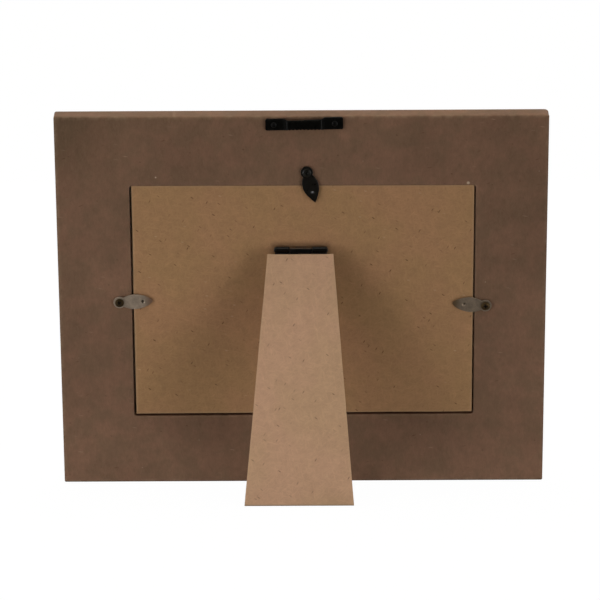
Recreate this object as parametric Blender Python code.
"""A wooden table and wall photo frame with an easel back.

The frame stands on the back edge of its bottom face and on the foot of its strut.
+X runs across the frame, +Y points out of its back and +Z is up.  "Left" and
"right" in a name are as seen from behind, so left is +X.

Most pieces are modelled in the board's own axes, which lean back with it:
x across, y out of the back face (0 on the back face), z up the board (0 at its
bottom face).  The strut's pieces are modelled in the hinge's axes, with the
strut folded flat: x along the pin, y out of the back, z up, 0 on the pin's axis.
"""
import math

import bmesh
import bpy
from mathutils import Matrix

MM = 0.001

# Board
BOARD_WIDTH = 258.0 * MM
BOARD_HEIGHT = 208.5 * MM
BOARD_THICKNESS = 12.0 * MM
LEAN = math.radians(14.4)
FRONT_ROUND = 3.0 * MM
BACK_EASE = 0.9 * MM
BACK_CORNER = 0.7 * MM
SIDE_CORNER = 1.6 * MM
FRONT_CORNER = 4.0 * MM

# Rebate that takes a 7 x 5 inch print, and the smaller sight opening before it
OPENING_WIDTH = 181.7 * MM
OPENING_HEIGHT = 131.2 * MM
BOTTOM_RAIL = 39.1 * MM
OPENING_SHIFT = -0.4 * MM
REBATE_CORNER = 1.5 * MM
REBATE_EASE = 0.25 * MM
LIP_THICKNESS = 3.4 * MM
LIP_WIDTH = 5.0 * MM
SIGHT_CHAMFER = 1.2 * MM
SIGHT_CORNER = 0.6 * MM

# Sheets in the rebate, front to back, with GAP between neighbours
GAP = 0.3 * MM
GLASS_THICKNESS = 2.0 * MM
PRINT_THICKNESS = 0.3 * MM
CARD_THICKNESS = 1.8 * MM
PANEL_THICKNESS = 3.0 * MM
GLASS_PLAY = 1.0 * MM
PRINT_PLAY = 3.0 * MM
CARD_PLAY = 1.4 * MM
PANEL_LEFT_GAP = 1.05 * MM
PANEL_RIGHT_GAP = 0.8 * MM
PANEL_BOTTOM_GAP = 1.2 * MM
SHEET_CORNER = 0.8 * MM
SHEET_EASE = 0.2 * MM
PRINT_EASE = 0.05 * MM

# Strut and its hinge
STRUT_OPENING = math.radians(30.0)
STRUT_TOP_WIDTH = 34.8 * MM
STRUT_FOOT_WIDTH = 57.2 * MM
STRUT_THICKNESS = 3.2 * MM
STRUT_TOP_DROP = 2.9 * MM
STRUT_EASE = 0.25 * MM
STRUT_TOP_SHIFT = 0.9 * MM
STRUT_FOOT_SHIFT = 2.0 * MM
HINGE_HEIGHT = 134.7 * MM
HINGE_SHIFT = 0.6 * MM
HINGE_WIDTH = 27.4 * MM
CENTRE_KNUCKLE_WIDTH = 11.4 * MM
KNUCKLE_CLEARANCE = 0.3 * MM
LEAF_LENGTH = 15.0 * MM
PANEL_LEAF_GAUGE = 1.05 * MM
STRUT_LEAF_GAUGE = 0.6 * MM
PIN_RADIUS = 0.55 * MM
PIN_BORE = 0.65 * MM
PIN_HEAD_RADIUS = 1.3 * MM
PIN_HEAD_LENGTH = 0.5 * MM
PIN_SIDE_PLAY = 0.1 * MM
HEEL_CLEARANCE = 0.05 * MM
HEEL_HEIGHT = 1.2 * MM

# Rivets through the hinge leaves
RIVET_SPACING = 16.0 * MM
PANEL_RIVET_DROP = 6.5 * MM
STRUT_RIVET_DROP = 11.0 * MM
RIVET_HEAD_RADIUS = 2.2 * MM
RIVET_HEAD_HEIGHT = 0.5 * MM
RIVET_SHANK_RADIUS = 1.1 * MM
RIVET_TAIL_RADIUS = 1.8 * MM
RIVET_TAIL_HEIGHT = 0.7 * MM
STRUT_RIVET_DEPTH = 1.8 * MM
RIVET_FIT = 0.2 * MM

# Turn buttons: an eye for the screw and a leaf-shaped blade
EYE_RADIUS = 3.25 * MM
NECK_HALF_WIDTH = 2.55 * MM
BLADE_REACH = 17.5 * MM
BLADE_BULGE = 2.65 * MM
BLADE_SKEW = 0.9
BLUNT_BUTTONS = ("left", "right")
BLUNT_HALF_WIDTH = 4.2 * MM
BLUNT_WIDEST = 8.2 * MM
BLUNT_POWER = 1.6
BUTTON_GAUGE = 0.8 * MM
BUTTON_LIFT = 0.4 * MM
BUTTON_BORE = 1.6 * MM
BUTTON_EASE = 0.12 * MM
DIMPLE_REACH = 11.4 * MM
DIMPLE_RADIUS = 0.75 * MM
DIMPLE_DEPTH = 0.3 * MM
# name: place of the screw (across, up the board) and the blade's direction from +X
TURN_BUTTONS = {
    "left": (96.85 * MM, 105.0 * MM, 177.3),
    "right": (-97.0 * MM, 102.2 * MM, 4.2),
    "top": (-2.7 * MM, 177.7 * MM, -104.7),
}
BUTTON_COLOURS = {"left": (112, 99, 87), "right": (100, 88, 76), "top": (26, 24, 20)}
SCREW_COLOURS = {"left": (52, 45, 36), "right": (52, 45, 36), "top": (26, 24, 20)}

# Screws that the buttons turn on
SCREW_HEAD_RADIUS = 2.35 * MM
SCREW_HEAD_HEIGHT = 1.3 * MM
SCREW_CORE_RADIUS = 1.05 * MM
SCREW_THREAD_RADIUS = 1.35 * MM
SCREW_PITCH = 1.1 * MM
SCREW_THREADS = 5
SCREW_TIP_LENGTH = 1.2 * MM
RECESS_ARM = 1.35 * MM
RECESS_HALF_WIDTH = 0.3 * MM
RECESS_DEPTH = 0.8 * MM
RECESS_TURN = 20.0

# Sawtooth hanger and its nails
HANGER_LENGTH = 40.5 * MM
HANGER_HEIGHT = 6.2 * MM
HANGER_CORNER = 1.0 * MM
HANGER_SHIFT = -1.5 * MM
HANGER_CENTRE_HEIGHT = 204.5 * MM
HANGER_TILT = math.radians(1.1)
HANGER_GAUGE = 0.8 * MM
HANGER_BULGE = 1.6 * MM
HANGER_END_LENGTH = 9.4 * MM
HANGER_RAMP_LENGTH = 1.6 * MM
HANGER_TOP_STEP = 0.9 * MM
HANGER_BOTTOM_STEP = 0.4 * MM
TOOTH_COUNT = 9
TOOTH_DEPTH = 0.6 * MM
NAIL_SPACING = 31.8 * MM
NAIL_HEAD_RADIUS = 1.5 * MM
NAIL_HEAD_HEIGHT = 0.7 * MM
NAIL_SHANK_RADIUS = 0.6 * MM
NAIL_LENGTH = 8.5 * MM
NAIL_POINT_LENGTH = 1.4 * MM
NAIL_FIT = 0.2 * MM

ROUND_SIDES = 24
CORNER_STEPS = 5
HANGER_CORNER_STEPS = 3
KNUCKLE_STEPS = 22
EYE_STEPS = 20
BLADE_STEPS = 16
SMALL_ROUND_SIDES = 20
DIMPLE_SIDES = 16
HOLE_OVERRUN = 1.0 * MM


# ---------------------------------------------------------------- materials

def linear_colour(colour):
    """Turn 0-255 display values into the linear values that a shader takes."""
    linear = []
    for value in colour:
        part = value / 255.0
        linear.append(part / 12.92 if part <= 0.04045 else ((part + 0.055) / 1.055) ** 2.4)
    return (*linear, 1.0)


def make_material(name, colour, roughness, metallic=0.0, transmission=0.0):
    material = bpy.data.materials.new(name)
    material.use_nodes = True
    shader = material.node_tree.nodes["Principled BSDF"]
    shader.inputs["Base Color"].default_value = linear_colour(colour)
    shader.inputs["Roughness"].default_value = roughness
    shader.inputs["Metallic"].default_value = metallic
    shader.inputs["Transmission Weight"].default_value = transmission
    material.diffuse_color = linear_colour(colour)
    return material


# ------------------------------------------------------------ mesh building

def finish_mesh(name, bm, smooth_angle=35.0):
    """Close off a bmesh: outward faces, smooth round parts, sharp corners."""
    bmesh.ops.recalc_face_normals(bm, faces=bm.faces)
    mesh = bpy.data.meshes.new(name)
    bm.to_mesh(mesh)
    bm.free()
    mesh.shade_smooth()
    mesh.set_sharp_from_angle(angle=math.radians(smooth_angle))
    return mesh


def loft_mesh(name, loops, ring=False, smooth_angle=35.0):
    """Skin a list of point loops; a ring joins last to first, others get end caps."""
    bm = bmesh.new()
    rows = [[bm.verts.new(point) for point in loop] for loop in loops]
    pairs = list(zip(rows, rows[1:]))
    if ring:
        pairs.append((rows[-1], rows[0]))
    for lower, upper in pairs:
        count = len(lower)
        for index in range(count):
            following = (index + 1) % count
            bm.faces.new((lower[index], lower[following], upper[following], upper[index]))
    if not ring:
        bm.faces.new(reversed(rows[0]))
        bm.faces.new(rows[-1])
    return finish_mesh(name, bm, smooth_angle)


def add_piece(name, mesh, parent, material):
    """Put a mesh in the scene under its own name."""
    piece = bpy.data.objects.new(name, mesh)
    bpy.context.scene.collection.objects.link(piece)
    piece.parent = parent
    mesh.materials.clear()
    mesh.materials.append(material)
    return piece


def add_empty(name, parent, location, rotation_x):
    empty = bpy.data.objects.new(name, None)
    bpy.context.scene.collection.objects.link(empty)
    empty.parent = parent
    empty.location = location
    empty.rotation_euler = (rotation_x, 0.0, 0.0)
    return empty


def add_tool(name, mesh, parent):
    """A body that only shapes another one and is not a piece itself."""
    tool = bpy.data.objects.new(name, mesh)
    bpy.context.scene.collection.objects.link(tool)
    tool.parent = parent
    tool.hide_render = True
    tool.display_type = "WIRE"
    return tool


def combine(piece, tool, operation):
    modifier = piece.modifiers.new(tool.name, "BOOLEAN")
    modifier.operation = operation
    modifier.solver = "EXACT"
    modifier.object = tool


def ease_edges(piece, width, segments=2, angle=40.0):
    modifier = piece.modifiers.new("eased edges", "BEVEL")
    modifier.width = width
    modifier.segments = segments
    modifier.limit_method = "ANGLE"
    modifier.angle_limit = math.radians(angle)


def rounded_rectangle(width, height, corner, y, centre_x=0.0, centre_z=0.0):
    """Points of a rounded rectangle that lies across the y axis."""
    points = []
    for turn in range(4):
        corner_x = (width / 2 - corner) * (1 if turn in (0, 3) else -1)
        corner_z = (height / 2 - corner) * (1 if turn in (0, 1) else -1)
        for step in range(CORNER_STEPS + 1):
            angle = (turn + step / CORNER_STEPS) * math.pi / 2
            x = centre_x + corner_x + corner * math.cos(angle)
            z = centre_z + corner_z + corner * math.sin(angle)
            points.append((x, y, z))
    return points


def turned_mesh(name, profile, sides=ROUND_SIDES):
    """Turn a profile of (radius, y) pairs about the y axis."""
    loops = []
    for radius, y in profile:
        turn = 2 * math.pi / sides
        loops.append([(radius * math.cos(turn * i), y, radius * math.sin(turn * i)) for i in range(sides)])
    return loft_mesh(name, loops)


def hole_mesh(name, holes):
    """Cylinders along y, as (x, z, radius, start, end), in one mesh of separate bodies."""
    bm = bmesh.new()
    for x, z, radius, start, end in holes:
        placement = Matrix.Translation((x, (start + end) / 2, z)) @ Matrix.Rotation(math.pi / 2, 4, "X")
        bmesh.ops.create_cone(
            bm, cap_ends=True, segments=ROUND_SIDES, radius1=radius, radius2=radius,
            depth=abs(end - start), matrix=placement)
    return finish_mesh(name, bm)


def extruded_mesh(name, outline, low_x, high_x, smooth_angle=35.0):
    """Extrude an outline of (y, z) points along x."""
    loops = [[(x, y, z) for y, z in outline] for x in (low_x, high_x)]
    return loft_mesh(name, loops, smooth_angle=smooth_angle)


def box_mesh(name, low, high):
    outline = ((low[1], low[2]), (high[1], low[2]), (high[1], high[2]), (low[1], high[2]))
    return extruded_mesh(name, outline, low[0], high[0])


# -------------------------------------------------------------------- board

def opening_centre():
    return OPENING_SHIFT, BOTTOM_RAIL + OPENING_HEIGHT / 2


def board_loops():
    """Loops round the board's section: front face, outside, back face, rebate, lip."""
    centre_z = BOARD_HEIGHT / 2
    opening_x, opening_z = opening_centre()
    front = -BOARD_THICKNESS
    rebate_floor = front + LIP_THICKNESS

    def outside(inset, corner, y):
        return rounded_rectangle(
            BOARD_WIDTH - 2 * inset, BOARD_HEIGHT - 2 * inset, corner, y, centre_z=centre_z)

    def inside(inset, corner, y):
        return rounded_rectangle(
            OPENING_WIDTH - 2 * inset, OPENING_HEIGHT - 2 * inset, corner, y, opening_x, opening_z)

    loops = []
    round_steps = 5
    for step in range(round_steps + 1):
        angle = step / round_steps * math.pi / 2
        inset = FRONT_ROUND * (1 - math.sin(angle))
        corner = FRONT_CORNER + (SIDE_CORNER - FRONT_CORNER) * step / round_steps
        loops.append(outside(inset, corner, front + FRONT_ROUND * (1 - math.cos(angle))))
    ease_steps = 3
    for step in range(ease_steps + 1):
        angle = step / ease_steps * math.pi / 2
        inset = BACK_EASE * (1 - math.cos(angle))
        loops.append(outside(inset, BACK_CORNER, -BACK_EASE * (1 - math.sin(angle))))
    loops.append(inside(-REBATE_EASE, REBATE_CORNER + REBATE_EASE, 0.0))
    loops.append(inside(0.0, REBATE_CORNER, -REBATE_EASE))
    loops.append(inside(0.0, REBATE_CORNER, rebate_floor))
    loops.append(inside(LIP_WIDTH, SIGHT_CORNER, rebate_floor))
    loops.append(inside(LIP_WIDTH, SIGHT_CORNER, front + SIGHT_CHAMFER))
    loops.append(inside(LIP_WIDTH - SIGHT_CHAMFER, SIGHT_CORNER + SIGHT_CHAMFER / 2, front))
    return loops


def hanger_point(along):
    """Place on the board of a point that lies `along` the tilted hanger's middle line."""
    x = HANGER_SHIFT + along * math.cos(HANGER_TILT)
    z = HANGER_CENTRE_HEIGHT - along * math.sin(HANGER_TILT)
    return x, z


def make_board(board_axes):
    painted = make_material("painted_board", (96, 74, 58), 0.55)
    mesh = loft_mesh("frame_board", board_loops(), ring=True)
    board = add_piece("frame_board", mesh, board_axes, painted)
    holes = []
    for x, z, _direction in TURN_BUTTONS.values():
        depth = SCREW_THREADS * SCREW_PITCH + SCREW_TIP_LENGTH + GAP
        holes.append((x, z, SCREW_THREAD_RADIUS + RIVET_FIT, -depth, HOLE_OVERRUN))
    for side in (-1, 1):
        x, z = hanger_point(side * NAIL_SPACING / 2)
        holes.append((x, z, NAIL_SHANK_RADIUS + NAIL_FIT, -NAIL_LENGTH, HOLE_OVERRUN))
    pilot_holes = add_tool("pilot_holes", hole_mesh("pilot_holes", holes), board_axes)
    combine(board, pilot_holes, "DIFFERENCE")


# ------------------------------------------------------- sheets in the rebate

def sheet_loops(width, height, back, thickness, ease, centre_x, centre_z):
    """Loops of a flat sheet with eased edges, back face to front face."""
    loops = []
    front = back - thickness
    for inset, y in ((ease, back), (0.0, back - ease), (0.0, front + ease), (ease, front)):
        loops.append(rounded_rectangle(
            width - 2 * inset, height - 2 * inset, SHEET_CORNER, y, centre_x, centre_z))
    return loops


def make_sheets(board_axes):
    """Glass, print, filler card and backing panel, each GAP behind the one before."""
    opening_x, opening_z = opening_centre()
    glass = make_material("glass", (235, 245, 240), 0.03, transmission=1.0)
    paper = make_material("print_paper", (225, 222, 214), 0.35)
    card = make_material("card", (176, 160, 132), 0.85)
    sheets = (
        ("glass_pane", GLASS_THICKNESS, GLASS_PLAY, SHEET_EASE, glass),
        ("photo_print", PRINT_THICKNESS, PRINT_PLAY, PRINT_EASE, paper),
        ("filler_card", CARD_THICKNESS, CARD_PLAY, SHEET_EASE, card),
    )
    back = -BOARD_THICKNESS + LIP_THICKNESS
    for name, thickness, play, ease, material in sheets:
        back += GAP + thickness
        loops = sheet_loops(
            OPENING_WIDTH - play, OPENING_HEIGHT - play, back, thickness, ease, opening_x, opening_z)
        add_piece(name, loft_mesh(name, loops), board_axes, material)
    make_backing_panel(board_axes, back + GAP + PANEL_THICKNESS)


def panel_back():
    """Height of the backing panel's outer face over the board's back face."""
    sheets = GLASS_THICKNESS + PRINT_THICKNESS + CARD_THICKNESS + PANEL_THICKNESS + 4 * GAP
    return -BOARD_THICKNESS + LIP_THICKNESS + sheets


def panel_rivet_places():
    """Where the rivets go through the panel: (x, z) in the board's axes."""
    z = HINGE_HEIGHT - PANEL_RIVET_DROP
    return [(HINGE_SHIFT + side * RIVET_SPACING / 2, z) for side in (1, -1)]


def make_backing_panel(board_axes, back):
    fibreboard = make_material("panel_fibreboard", (124, 97, 69), 0.8)
    opening_x, _opening_z = opening_centre()
    height = OPENING_HEIGHT - PANEL_BOTTOM_GAP - GAP
    centre_z = BOTTOM_RAIL + PANEL_BOTTOM_GAP + height / 2
    width = OPENING_WIDTH - PANEL_LEFT_GAP - PANEL_RIGHT_GAP
    centre_x = opening_x + (PANEL_RIGHT_GAP - PANEL_LEFT_GAP) / 2
    loops = sheet_loops(width, height, back, PANEL_THICKNESS, SHEET_EASE, centre_x, centre_z)
    panel = add_piece("backing_panel", loft_mesh("backing_panel", loops), board_axes, fibreboard)
    front = back - PANEL_THICKNESS
    holes = []
    for x, z in panel_rivet_places():
        holes.append((x, z, RIVET_SHANK_RADIUS + RIVET_FIT, front - HOLE_OVERRUN, back + HOLE_OVERRUN))
    bores = add_tool("panel_rivet_bores", hole_mesh("panel_rivet_bores", holes), board_axes)
    combine(panel, bores, "DIFFERENCE")
    recess_top = front + RIVET_TAIL_HEIGHT + GAP
    holes = [
        (x, z, RIVET_TAIL_RADIUS + RIVET_FIT, front - HOLE_OVERRUN, recess_top)
        for x, z in panel_rivet_places()]
    recesses = add_tool("panel_rivet_recesses", hole_mesh("panel_rivet_recesses", holes), board_axes)
    combine(panel, recesses, "DIFFERENCE")


# -------------------------------------------------------------------- hinge

def hinge_depth():
    """Height of the pin's axis over the board's back face."""
    return panel_back() + GAP + PANEL_LEAF_GAUGE + PIN_BORE


def leaf_mesh(name, gauge, side):
    """A leaf's whole width with its knuckle: a plate that runs up tangent to the knuckle.

    side is -1 for the leaf that lies on the panel and 1 for the one on the strut.
    """
    radius = PIN_BORE + gauge
    wrap = 2 * math.pi - math.acos(PIN_BORE / radius)
    points = [(radius, -LEAF_LENGTH)]
    for step in range(KNUCKLE_STEPS + 1):
        angle = wrap * step / KNUCKLE_STEPS
        points.append((radius * math.cos(angle), radius * math.sin(angle)))
    points.append((PIN_BORE, -LEAF_LENGTH))
    outline = [(side * y, z) for y, z in points]
    return extruded_mesh(name, outline, -HINGE_WIDTH / 2, HINGE_WIDTH / 2)


def cut_pin_bore(leaf, axes):
    turn = 2 * math.pi / ROUND_SIDES
    outline = [
        (PIN_BORE * math.cos(turn * i), PIN_BORE * math.sin(turn * i)) for i in range(ROUND_SIDES)]
    reach = HINGE_WIDTH / 2 + HOLE_OVERRUN
    name = leaf.name + "_bore"
    combine(leaf, add_tool(name, extruded_mesh(name, outline, -reach, reach), axes), "DIFFERENCE")


def cut_leaf_holes(leaf, axes, drop, side):
    """Two rivet holes through a leaf's plate."""
    outer = side * (PIN_BORE + PANEL_LEAF_GAUGE + HOLE_OVERRUN)
    holes = [(x, -drop, RIVET_SHANK_RADIUS + RIVET_FIT, 0.0, outer) for x in rivet_offsets()]
    name = leaf.name + "_holes"
    combine(leaf, add_tool(name, hole_mesh(name, holes), axes), "DIFFERENCE")


def rivet_offsets():
    return (RIVET_SPACING / 2, -RIVET_SPACING / 2)


def shoulder_drop():
    """How far below the pin's axis a leaf stops where the other one has its knuckle."""
    return PIN_BORE + PANEL_LEAF_GAUGE + KNUCKLE_CLEARANCE


def make_panel_leaf(hinge_axes, steel):
    mesh = leaf_mesh("hinge_panel_leaf", PANEL_LEAF_GAUGE, -1)
    leaf = add_piece("hinge_panel_leaf", mesh, hinge_axes, steel)
    cut_pin_bore(leaf, hinge_axes)
    half = CENTRE_KNUCKLE_WIDTH / 2 + KNUCKLE_CLEARANCE
    reach = 2 * (PIN_BORE + PANEL_LEAF_GAUGE)
    notch = box_mesh("centre_notch", (-half, -reach, -shoulder_drop()), (half, reach, reach))
    combine(leaf, add_tool("centre_notch", notch, hinge_axes), "DIFFERENCE")
    cut_leaf_holes(leaf, hinge_axes, PANEL_RIVET_DROP, -1)


def stop_heel_mesh():
    """The square heel that bears on the panel when the strut is fully open."""
    bearing = -(hinge_depth() - panel_back() - HEEL_CLEARANCE)
    opened = ((bearing, 0.0), (bearing, HEEL_HEIGHT), (-PIN_BORE / 2, HEEL_HEIGHT), (-PIN_BORE / 2, 0.0))
    cosine = math.cos(STRUT_OPENING)
    sine = math.sin(STRUT_OPENING)
    outline = [(y * cosine + z * sine, z * cosine - y * sine) for y, z in opened]
    return extruded_mesh("stop_heel", outline, -CENTRE_KNUCKLE_WIDTH / 4, CENTRE_KNUCKLE_WIDTH / 4)


def make_strut_leaf(strut_axes, steel):
    mesh = leaf_mesh("hinge_strut_leaf", STRUT_LEAF_GAUGE, 1)
    leaf = add_piece("hinge_strut_leaf", mesh, strut_axes, steel)
    combine(leaf, add_tool("stop_heel", stop_heel_mesh(), strut_axes), "UNION")
    cut_pin_bore(leaf, strut_axes)
    inner = CENTRE_KNUCKLE_WIDTH / 2
    outer = HINGE_WIDTH
    reach = 2 * (PIN_BORE + PANEL_LEAF_GAUGE)
    for side, word in ((1, "left"), (-1, "right")):
        low_x, high_x = sorted((side * inner, side * outer))
        name = f"end_notch_{word}"
        notch = box_mesh(name, (low_x, -reach, -shoulder_drop()), (high_x, reach, reach))
        combine(leaf, add_tool(name, notch, strut_axes), "DIFFERENCE")
    cut_leaf_holes(leaf, strut_axes, STRUT_RIVET_DROP, 1)


def make_pin(hinge_axes, steel):
    """Headed pin along x, turned about y and laid over."""
    half = HINGE_WIDTH / 2 + PIN_SIDE_PLAY
    dome = PIN_HEAD_LENGTH / 2
    half_profile = (
        (PIN_HEAD_RADIUS * 0.6, half + PIN_HEAD_LENGTH),
        (PIN_HEAD_RADIUS * 0.92, half + dome),
        (PIN_HEAD_RADIUS, half),
        (PIN_RADIUS, half),
    )
    profile = list(half_profile) + [(radius, -y) for radius, y in reversed(half_profile)]
    pin = add_piece("hinge_pin", turned_mesh("hinge_pin", profile), hinge_axes, steel)
    pin.rotation_euler.z = math.pi / 2


def rivet_profile(head_top, head_base, end, tail_height):
    """A domed head, a shank and, where tail_height isn't 0, a tail set over in its recess."""
    rise = head_base - head_top
    profile = [
        (RIVET_HEAD_RADIUS * 0.45, head_top),
        (RIVET_HEAD_RADIUS * 0.8, head_top + rise * 0.3),
        (RIVET_HEAD_RADIUS, head_top + rise * 0.8),
        (RIVET_HEAD_RADIUS, head_base),
        (RIVET_SHANK_RADIUS, head_base),
    ]
    if tail_height:
        tail_start = end - math.copysign(tail_height, rise)
        profile.append((RIVET_SHANK_RADIUS, tail_start))
        profile.append((RIVET_TAIL_RADIUS, tail_start))
        profile.append((RIVET_TAIL_RADIUS, end))
    else:
        profile.append((RIVET_SHANK_RADIUS, end))
    return profile


def make_rivets(hinge_axes, strut_axes, steel):
    leaf_face = -PIN_BORE
    panel_front = panel_back() - PANEL_THICKNESS - hinge_depth()
    through = rivet_profile(
        leaf_face + RIVET_FIT + RIVET_HEAD_HEIGHT, leaf_face + RIVET_FIT,
        panel_front, RIVET_TAIL_HEIGHT)
    strut_face = PIN_BORE + STRUT_LEAF_GAUGE + GAP
    blind = rivet_profile(
        PIN_BORE - RIVET_FIT - RIVET_HEAD_HEIGHT, PIN_BORE - RIVET_FIT,
        strut_face + STRUT_RIVET_DEPTH, 0.0)
    for word, x in zip(("left", "right"), rivet_offsets()):
        name = f"panel_rivet_{word}"
        rivet = add_piece(name, turned_mesh(name, through), hinge_axes, steel)
        rivet.location = (x, 0.0, -PANEL_RIVET_DROP)
        name = f"strut_rivet_{word}"
        rivet = add_piece(name, turned_mesh(name, blind), strut_axes, steel)
        rivet.location = (x, 0.0, -STRUT_RIVET_DROP)


# -------------------------------------------------------------------- strut

def strut_end():
    """Distance down the strut from the pin's axis to its foot, so that it stands at z = 0."""
    tilt = STRUT_OPENING - LEAN
    axis_height = HINGE_HEIGHT * math.cos(LEAN) - hinge_depth() * math.sin(LEAN) - seat_drop()
    inner_face = PIN_BORE + STRUT_LEAF_GAUGE + GAP
    return (axis_height + (inner_face + STRUT_EASE) * math.sin(tilt)) / math.cos(tilt)


def make_strut(strut_axes):
    fibreboard = make_material("strut_fibreboard", (163, 130, 104), 0.8)
    inner = PIN_BORE + STRUT_LEAF_GAUGE + GAP
    outer = inner + STRUT_THICKNESS
    top_centre = STRUT_TOP_SHIFT - HINGE_SHIFT
    foot_centre = STRUT_FOOT_SHIFT - HINGE_SHIFT
    foot = -strut_end()

    def trapezoid(inset, y):
        top_half = STRUT_TOP_WIDTH / 2 - inset
        foot_half = STRUT_FOOT_WIDTH / 2 - inset
        top = -STRUT_TOP_DROP - inset
        return [
            (foot_centre - foot_half, y, foot + inset), (foot_centre + foot_half, y, foot + inset),
            (top_centre + top_half, y, top), (top_centre - top_half, y, top)]

    loops = [
        trapezoid(STRUT_EASE, inner), trapezoid(0.0, inner + STRUT_EASE),
        trapezoid(0.0, outer - STRUT_EASE), trapezoid(STRUT_EASE, outer)]
    strut = add_piece("easel_strut", loft_mesh("easel_strut", loops), strut_axes, fibreboard)
    holes = [
        (x, -STRUT_RIVET_DROP, RIVET_SHANK_RADIUS + RIVET_FIT, inner - HOLE_OVERRUN,
         inner + STRUT_RIVET_DEPTH + GAP)
        for x in rivet_offsets()]
    bores = add_tool("strut_rivet_bores", hole_mesh("strut_rivet_bores", holes), strut_axes)
    combine(strut, bores, "DIFFERENCE")


# ------------------------------------------------------------- turn buttons

def blade_half_width(x, neck, blunt):
    """Half width of a pointed or a blunt blade at x, past the neck."""
    if not blunt:
        share = (x - neck) / (BLADE_REACH - neck)
        return NECK_HALF_WIDTH * (1 - share) + BLADE_BULGE * math.sin(math.pi * share ** BLADE_SKEW)
    if x < BLUNT_WIDEST:
        swell = math.sin(math.pi / 2 * (x - neck) / (BLUNT_WIDEST - neck))
        return NECK_HALF_WIDTH + (BLUNT_HALF_WIDTH - NECK_HALF_WIDTH) * swell
    share = (x - BLUNT_WIDEST) / (BLADE_REACH - BLUNT_WIDEST)
    return BLUNT_HALF_WIDTH * (1 - share ** BLUNT_POWER) ** (1 / BLUNT_POWER)


def button_outline(y, blunt):
    """Round eye at the origin, then a leaf along +x."""
    neck = math.sqrt(EYE_RADIUS ** 2 - NECK_HALF_WIDTH ** 2)
    neck_angle = math.atan2(NECK_HALF_WIDTH, neck)
    points = []
    for step in range(EYE_STEPS + 1):
        angle = neck_angle + (2 * math.pi - 2 * neck_angle) * step / EYE_STEPS
        points.append((EYE_RADIUS * math.cos(angle), y, EYE_RADIUS * math.sin(angle)))
    edge = []
    for step in range(1, BLADE_STEPS):
        x = neck + step / BLADE_STEPS * (BLADE_REACH - neck)
        edge.append((x, blade_half_width(x, neck, blunt)))
    points.extend((x, y, -half_width) for x, half_width in edge)
    points.append((BLADE_REACH, y, 0.0))
    points.extend((x, y, half_width) for x, half_width in reversed(edge))
    return points


def make_turn_button(word, board_axes):
    x, z, direction = TURN_BUTTONS[word]
    steel = make_material(f"turn_button_{word}_steel", BUTTON_COLOURS[word], 0.42, metallic=0.7)
    name = f"turn_button_{word}"
    blunt = word in BLUNT_BUTTONS
    loops = [button_outline(0.0, blunt), button_outline(BUTTON_GAUGE, blunt)]
    button = add_piece(name, loft_mesh(name, loops), board_axes, steel)
    button.location = (x, BUTTON_LIFT, z)
    button.rotation_euler.y = -math.radians(direction)
    ease_edges(button, BUTTON_EASE)
    bore_name = f"button_bore_{word}"
    bore = hole_mesh(bore_name, [(0.0, 0.0, BUTTON_BORE, -HOLE_OVERRUN, BUTTON_GAUGE + HOLE_OVERRUN)])
    combine(button, add_tool(bore_name, bore, button), "DIFFERENCE")
    dimple_name = f"button_dimple_{word}"
    dimple = turned_mesh(
        dimple_name,
        ((DIMPLE_RADIUS * 1.4, BUTTON_GAUGE + DIMPLE_DEPTH), (DIMPLE_RADIUS, BUTTON_GAUGE),
         (DIMPLE_RADIUS * 0.3, BUTTON_GAUGE - DIMPLE_DEPTH)), sides=DIMPLE_SIDES)
    dimple_tool = add_tool(dimple_name, dimple, button)
    dimple_tool.location.x = DIMPLE_REACH
    combine(button, dimple_tool, "DIFFERENCE")


def screw_profile():
    """Pan head, then ring threads and a point, from the head's top inwards."""
    base = BUTTON_LIFT + BUTTON_GAUGE + RIVET_FIT
    top = base + SCREW_HEAD_HEIGHT
    profile = [
        (SCREW_HEAD_RADIUS * 0.62, top),
        (SCREW_HEAD_RADIUS * 0.88, top - SCREW_HEAD_HEIGHT * 0.16),
        (SCREW_HEAD_RADIUS, top - SCREW_HEAD_HEIGHT * 0.5),
        (SCREW_HEAD_RADIUS, base),
        (SCREW_CORE_RADIUS, base),
        (SCREW_CORE_RADIUS, 0.0),
    ]
    for turn in range(SCREW_THREADS):
        profile.append((SCREW_THREAD_RADIUS, -(turn + 0.5) * SCREW_PITCH))
        profile.append((SCREW_CORE_RADIUS, -(turn + 1.0) * SCREW_PITCH))
    profile.append((SCREW_CORE_RADIUS * 0.1, -SCREW_THREADS * SCREW_PITCH - SCREW_TIP_LENGTH))
    return profile


def cross_recess_mesh(name, top):
    """Tapered cross that a screwdriver fits."""
    loops = []
    for depth, scale in ((-HOLE_OVERRUN, 1.0), (0.0, 1.0), (RECESS_DEPTH, 0.45)):
        arm = RECESS_ARM * scale
        half = RECESS_HALF_WIDTH * (0.5 + scale / 2)
        corner = [(arm, -half), (arm, half), (half, half)]
        loop = []
        for quarter in range(4):
            cosine = round(math.cos(quarter * math.pi / 2))
            sine = round(math.sin(quarter * math.pi / 2))
            loop.extend((x * cosine - z * sine, top - depth, x * sine + z * cosine) for x, z in corner)
        loops.append(loop)
    return loft_mesh(name, loops)


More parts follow.
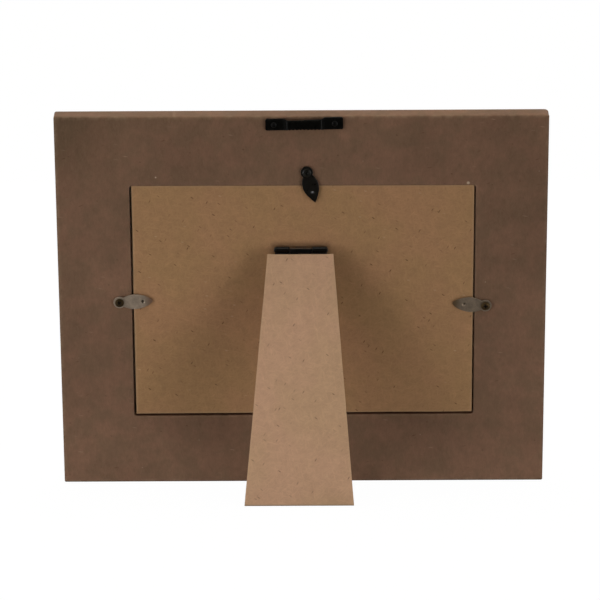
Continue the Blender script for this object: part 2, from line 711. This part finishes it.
def make_turn_screw(word, board_axes):
    x, z, direction = TURN_BUTTONS[word]
    steel = make_material(f"turn_screw_{word}_steel", SCREW_COLOURS[word], 0.45, metallic=0.8)
    name = f"turn_screw_{word}"
    screw = add_piece(name, turned_mesh(name, screw_profile(), sides=SMALL_ROUND_SIDES), board_axes, steel)
    screw.location = (x, 0.0, z)
    screw.rotation_euler.y = -math.radians(direction + RECESS_TURN)
    recess_name = f"cross_recess_{word}"
    top = BUTTON_LIFT + BUTTON_GAUGE + RIVET_FIT + SCREW_HEAD_HEIGHT
    combine(screw, add_tool(recess_name, cross_recess_mesh(recess_name, top), screw), "DIFFERENCE")


# ----------------------------------------------------------- sawtooth hanger

def hanger_stations():
    """(x, lift, low edge, high edge) along the strip, with round ends and a toothed bridge."""
    half_length = HANGER_LENGTH / 2
    half_height = HANGER_HEIGHT / 2
    stations = []
    for step in range(HANGER_CORNER_STEPS + 1):
        angle = step / HANGER_CORNER_STEPS * math.pi / 2
        edge = half_height - HANGER_CORNER * (1 - math.sin(angle))
        stations.append((half_length - HANGER_CORNER * (1 - math.cos(angle)), 0.0, -edge, edge))
    stations.append((half_length - HANGER_END_LENGTH, 0.0, -half_height, half_height))
    bridge = half_length - HANGER_END_LENGTH - HANGER_RAMP_LENGTH
    low = -half_height + HANGER_BOTTOM_STEP
    high = half_height - HANGER_TOP_STEP
    half_teeth = []
    for step in range(TOOTH_COUNT + 1):
        notch = TOOTH_DEPTH if step % 2 == 0 else 0.0
        half_teeth.append((bridge * (1 - step / TOOTH_COUNT), HANGER_BULGE, low + notch, high))
    stations.extend(half_teeth)
    mirrored = [(-x, lift, bottom, top) for x, lift, bottom, top in reversed(stations[:-1])]
    return stations + mirrored


def make_hanger(board_axes):
    steel = make_material("hanger_black_steel", (20, 17, 15), 0.45, metallic=0.6)
    loops = []
    for x, lift, low, high in hanger_stations():
        inner = GAP + lift
        outer = inner + HANGER_GAUGE
        loops.append([(x, inner, low), (x, inner, high), (x, outer, high), (x, outer, low)])
    hanger = add_piece("sawtooth_hanger", loft_mesh("sawtooth_hanger", loops), board_axes, steel)
    hanger.location = (HANGER_SHIFT, 0.0, HANGER_CENTRE_HEIGHT)
    hanger.rotation_euler.y = HANGER_TILT
    holes = [
        (side * NAIL_SPACING / 2, 0.0, NAIL_SHANK_RADIUS + NAIL_FIT, -HOLE_OVERRUN,
         GAP + HANGER_GAUGE + HOLE_OVERRUN)
        for side in (1, -1)]
    combine(hanger, add_tool("hanger_holes", hole_mesh("hanger_holes", holes), hanger), "DIFFERENCE")


def make_nails(board_axes):
    steel = make_material("nail_black_steel", (26, 24, 23), 0.4, metallic=0.8)
    base = GAP + HANGER_GAUGE + NAIL_FIT
    top = base + NAIL_HEAD_HEIGHT
    end = GAP - NAIL_LENGTH
    profile = (
        (NAIL_HEAD_RADIUS * 0.4, top),
        (NAIL_HEAD_RADIUS * 0.78, top - NAIL_HEAD_HEIGHT * 0.25),
        (NAIL_HEAD_RADIUS, base + NAIL_HEAD_HEIGHT * 0.2),
        (NAIL_HEAD_RADIUS, base),
        (NAIL_SHANK_RADIUS, base),
        (NAIL_SHANK_RADIUS, end + NAIL_POINT_LENGTH),
        (NAIL_SHANK_RADIUS * 0.1, end),
    )
    for word, side in (("left", 1), ("right", -1)):
        name = f"hanger_nail_{word}"
        nail = add_piece(name, turned_mesh(name, profile, sides=SMALL_ROUND_SIDES), board_axes, steel)
        x, z = hanger_point(side * NAIL_SPACING / 2)
        nail.location = (x, 0.0, z)


# ----------------------------------------------------------------- assembly

def seat_drop():
    """How far the leaning board comes down to rest on its bottom edge."""
    return BACK_EASE * math.sin(LEAN)


def depth_range():
    """Front-most and back-most y, measured from the board's bottom back edge."""
    front = min(y * math.cos(LEAN) + z * math.sin(LEAN) for loop in board_loops() for _x, y, z in loop)
    tilt = STRUT_OPENING - LEAN
    axis_y = hinge_depth() * math.cos(LEAN) + HINGE_HEIGHT * math.sin(LEAN)
    outer = PIN_BORE + STRUT_LEAF_GAUGE + GAP + STRUT_THICKNESS - STRUT_EASE
    return front, axis_y + outer * math.cos(tilt) + strut_end() * math.sin(tilt)


def clear_scene():
    for item in list(bpy.data.objects):
        bpy.data.objects.remove(item, do_unlink=True)


def main():
    clear_scene()
    front, back = depth_range()
    board_axes = add_empty("board_axes", None, (0.0, -(front + back) / 2, -seat_drop()), -LEAN)
    hinge_axes = add_empty("hinge_axes", board_axes, (HINGE_SHIFT, hinge_depth(), HINGE_HEIGHT), 0.0)
    strut_axes = add_empty("strut_axes", hinge_axes, (0.0, 0.0, 0.0), STRUT_OPENING)
    make_board(board_axes)
    make_sheets(board_axes)
    hinge_steel = make_material("hinge_black_steel", (22, 20, 18), 0.4, metallic=0.7)
    rivet_steel = make_material("rivet_steel", (60, 56, 52), 0.4, metallic=0.8)
    make_panel_leaf(hinge_axes, hinge_steel)
    make_strut_leaf(strut_axes, hinge_steel)
    make_pin(hinge_axes, rivet_steel)
    make_rivets(hinge_axes, strut_axes, rivet_steel)
    make_strut(strut_axes)
    for word in TURN_BUTTONS:
        make_turn_button(word, board_axes)
        make_turn_screw(word, board_axes)
    make_hanger(board_axes)
    make_nails(board_axes)


main()
